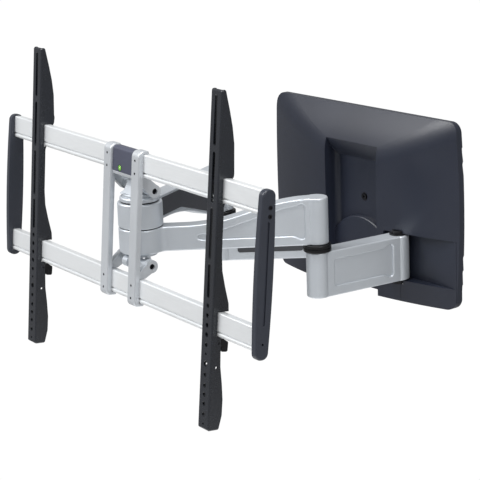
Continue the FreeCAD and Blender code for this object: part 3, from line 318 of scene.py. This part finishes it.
# %% The head's frame
PAN, TILT = math.radians(-4.93), math.radians(-5.5)
HUB = Vector((-0.0785, -0.359, 0))
TILT_AXIS = Vector((0, 0, 0.068))
HEAD = (Matrix.Translation(HUB) @ Matrix.Rotation(PAN, 4, "Z")
        @ Matrix.Translation(TILT_AXIS) @ Matrix.Rotation(TILT, 4, "X"))


def select_only(*pieces):
    """Select these pieces and nothing else; the first one is active."""
    bpy.ops.object.select_all(action="DESELECT")
    for piece in pieces:
        piece.select_set(True)
    if pieces:
        bpy.context.view_layer.objects.active = pieces[0]


def in_head(piece, name, body, slot, finish=None):
    """Carry a piece from the head's frame to its place, freeze it there and hang it on its body."""
    piece.name = name
    piece.matrix_world = HEAD @ piece.matrix_world
    select_only(piece)
    bpy.ops.object.transform_apply(location=True, rotation=True, scale=True)
    piece.data.materials.clear()
    piece.data.materials.append(finishes[finish or slot])
    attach(piece, body)
    print(name, "on", body, "with", len(piece.data.polygons), "faces")


print("the tilt axis is at", [round(v, 4) for v in HEAD.to_translation()])

# %% [markdown]
# ### The bubble level: its glass
#
# The level is a domed, liquid-filled glass let into the centre cover. A flattened sphere would come
# to an edge all round; a short cylinder with a well rounded rim keeps the flat seat and the soft
# dome of the real one. The rim is rounded by a bevel modifier, which is then applied.

# %% The level's glass
LEVEL = Vector((-0.008, -0.0260, 0.0255))
FACING_ROOM = (math.pi / 2, 0, 0)


def disc(radius, depth, spot, vertices):
    """A short cylinder whose axis runs along Y."""
    select_only()
    bpy.ops.mesh.primitive_cylinder_add(vertices=vertices, radius=radius, depth=depth,
                                        location=spot, rotation=FACING_ROOM)
    return bpy.context.object


def bevelled(piece, width, segments):
    """Round the piece's sharp edges and shade it smooth."""
    select_only(piece)
    modifier = piece.modifiers.new("rounding", "BEVEL")
    modifier.width = width
    modifier.segments = segments
    modifier.limit_method = "ANGLE"
    modifier.angle_limit = math.radians(28)
    bpy.ops.object.modifier_apply(modifier=modifier.name)
    bpy.ops.object.shade_smooth_by_angle(angle=math.radians(35))


glass = disc(radius=0.00352, depth=0.0018, spot=LEVEL, vertices=64)
bevelled(glass, width=0.0007, segments=4)
in_head(glass, "level_glass", "screen_frame", "vial_green")
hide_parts("level_vial")

# %% [markdown]
# ### The bubble level: circle and bubble
#
# A dark circle marks the middle of the glass, and the bubble has drifted a little off it. The
# circle is a ring pressed flatter and the bubble is a sphere pressed against the glass, so both
# keep a rounded edge that catches the light.

# %% The level's circle and bubble


def press(size):
    """Squeeze the newest piece in edit mode, about its own middle, and shade it smooth."""
    bpy.ops.object.mode_set(mode="EDIT")
    bpy.ops.mesh.select_all(action="SELECT")
    bpy.ops.transform.resize(value=size)
    bpy.ops.object.mode_set(mode="OBJECT")
    bpy.ops.object.shade_smooth()
    return bpy.context.object


select_only()
bpy.ops.mesh.primitive_torus_add(location=LEVEL + Vector((0, -0.0009, 0)), rotation=FACING_ROOM,
                                 major_radius=0.0017, minor_radius=0.00014, major_segments=48,
                                 minor_segments=8)
in_head(press((1, 0.6, 1)), "level_circle", "screen_frame", "bezel_dark")
select_only()
bpy.ops.mesh.primitive_uv_sphere_add(segments=32, ring_count=16, radius=0.00135,
                                     location=LEVEL + Vector((0.0003, -0.0008, 0.0005)))
in_head(press((1, 0.3, 0.9)), "level_bubble", "screen_frame", "vial_green", "bubble_green")

# %% [markdown]
# ### The clamp knobs
#
# A small wheel inside each upright draws its clamp tight on the upper rail. It has finger notches
# round its rim and a sunk face. The notches could be cut out with eight small cylinders, but it is
# cleaner to push in three of every eight rim faces. The stem is a plain rounded rod.

# %% One clamp knob
KNOB_LEVEL = 0.0601
RIGHT_KNOB, LEFT_KNOB = 0.2245, -0.2422
NOTCH_EVERY, NOTCH_FACES = 8, 3


def push_faces(piece, wanted, inset, depth):
    """Inset the faces that a test accepts, and push them in by a depth."""
    bpy.context.tool_settings.mesh_select_mode = (False, False, True)
    for face in piece.data.polygons:
        face.select = wanted(face)
    bpy.ops.object.mode_set(mode="EDIT")
    bpy.ops.mesh.inset(thickness=inset)
    bpy.ops.transform.shrink_fatten(value=-depth)
    bpy.ops.object.mode_set(mode="OBJECT")


def in_notch(face):
    return len(face.vertices) == 4 and face.index % NOTCH_EVERY < NOTCH_FACES


wheel = disc(radius=0.0070, depth=0.0034, spot=(RIGHT_KNOB, -0.0047, KNOB_LEVEL), vertices=64)
push_faces(wheel, in_notch, inset=0.00015, depth=0.0008)
push_faces(wheel, lambda face: len(face.vertices) > 8, inset=0.0020, depth=0.0005)
bevelled(wheel, width=0.0003, segments=2)
stem = disc(radius=0.00295, depth=0.0090, spot=(RIGHT_KNOB, -0.0110, KNOB_LEVEL), vertices=32)
bevelled(stem, width=0.0004, segments=2)
select_only(wheel, stem)
bpy.ops.object.join()
print("one knob has", len(wheel.data.polygons), "faces")

# %% [markdown]
# The left knob is a copy with its own mesh, so that each can be frozen in its own place.

# %% The knobs in their places
twin = wheel.copy()
twin.data = wheel.data.copy()
bpy.context.scene.collection.objects.link(twin)
twin.location.x += LEFT_KNOB - RIGHT_KNOB
for piece, side in ((wheel, "right"), (twin, "left")):
    in_head(piece, f"knob_wheel_{side}", f"knob_{side}", "clamp_black")
    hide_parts(f"clamp_knob_{side}")

# %% [markdown]
# ## Lamps and floor
#
# Soft light from several sides shows a shape without hard shadows. A broad lamp from the front left
# does most of the work, a smaller one from the right lifts the side of the cover, and one above
# brightens the tops of the arms. The lamps sit well outside the picture. The floor is pale and
# nearly matt, so it throws a little light back up.

# %% Lamps and floor


def lamp(name, spot, aim, size, power):
    """A rectangular area lamp at a spot, turned to face an aim point."""
    light = bpy.data.lights.new(name, "AREA")
    light.shape = "RECTANGLE"
    light.size, light.size_y = size
    light.energy = power
    holder = bpy.data.objects.new(name, light)
    bpy.context.scene.collection.objects.link(holder)
    holder.location = spot
    holder.rotation_euler = (Vector(aim) - Vector(spot)).to_track_quat("-Z", "Y").to_euler()
    print("lamp", name, "of", power, "watts at", spot)


lamp("key", (-1.4, -2.4, 2.0), (0, -0.3, 0), (1.6, 1.6), 95)
lamp("side", (2.6, -0.6, 1.4), (0, -0.2, 0), (0.8, 1.6), 30)
lamp("top", (0.4, -0.6, 2.4), (0, -0.2, 0), (2.0, 1.2), 55)

select_only()
bpy.ops.mesh.primitive_plane_add(size=2.8, location=(0.4, -0.9, -0.95))
floor = bpy.context.object
floor.name = "floor"
ground = Shader("pale_floor", Roughness=0.9)
ground.drive("Base Color", ground.mix(ground.noise(2, 3), (0.93, 0.93, 0.93), (0.95, 0.95, 0.95)))
floor.data.materials.append(ground.material)

# %% [markdown]
# ## The white room
#
# A world as bright as a white backdrop would wash out the dark parts. So the world has two
# strengths: the camera sees it white, and the mount is lit by a much dimmer one.

# %% The white room
SEEN_STRENGTH, LIT_STRENGTH = 1.02, 0.38

world = bpy.data.worlds.new("white_room")
world.use_nodes = True
sky = world.node_tree.nodes
seen, lit, choice, ray = [sky.new(kind) for kind in (
    "ShaderNodeBackground", "ShaderNodeBackground", "ShaderNodeMixShader", "ShaderNodeLightPath")]
for shade, strength in ((seen, SEEN_STRENGTH), (lit, LIT_STRENGTH)):
    shade.inputs["Color"].default_value = (1, 1, 1, 1)
    shade.inputs["Strength"].default_value = strength
joins = world.node_tree.links
joins.new(ray.outputs["Is Camera Ray"], choice.inputs[0])
joins.new(lit.outputs[0], choice.inputs[1])
joins.new(seen.outputs[0], choice.inputs[2])
joins.new(choice.outputs[0], sky["World Output"].inputs["Surface"])
bpy.context.scene.world = world
print("the world is seen at", SEEN_STRENGTH, "and lights the mount at", LIT_STRENGTH)

# %% [markdown]
# ## Camera
#
# The camera stands to the right of the mount and a little above it, and looks through a long lens,
# which keeps the rails nearly parallel. Its three axes are worked out from a heading, a pitch and a
# small roll, because a camera that is only aimed at a point has no roll.

# %% Camera
HEADING, PITCH, ROLL = math.radians(51.24), math.radians(15.06), math.radians(-2.12)
CAMERA_SPOT = Vector((1.8786, -1.7573, 0.6331))
SENSOR_WIDTH, LENS = 36, 135.75

back = Vector((math.sin(HEADING) * math.cos(PITCH), -math.cos(HEADING) * math.cos(PITCH),
               math.sin(PITCH)))
right = Vector((math.cos(HEADING), math.sin(HEADING), 0))
level_right = right * math.cos(ROLL) + back.cross(right) * math.sin(ROLL)
axes = Matrix((level_right, back.cross(level_right), back)).transposed().to_4x4()
camera = bpy.data.objects.new("camera", bpy.data.cameras.new("camera"))
bpy.context.scene.collection.objects.link(camera)
camera.matrix_world = Matrix.Translation(CAMERA_SPOT) @ axes
camera.data.sensor_width = SENSOR_WIDTH
camera.data.lens = LENS
camera.data.clip_end = 60
bpy.context.scene.camera = camera
bpy.context.scene.view_settings.view_transform = "Standard"
print("the camera stands at", [round(v, 3) for v in CAMERA_SPOT], "with a lens of", LENS, "mm")
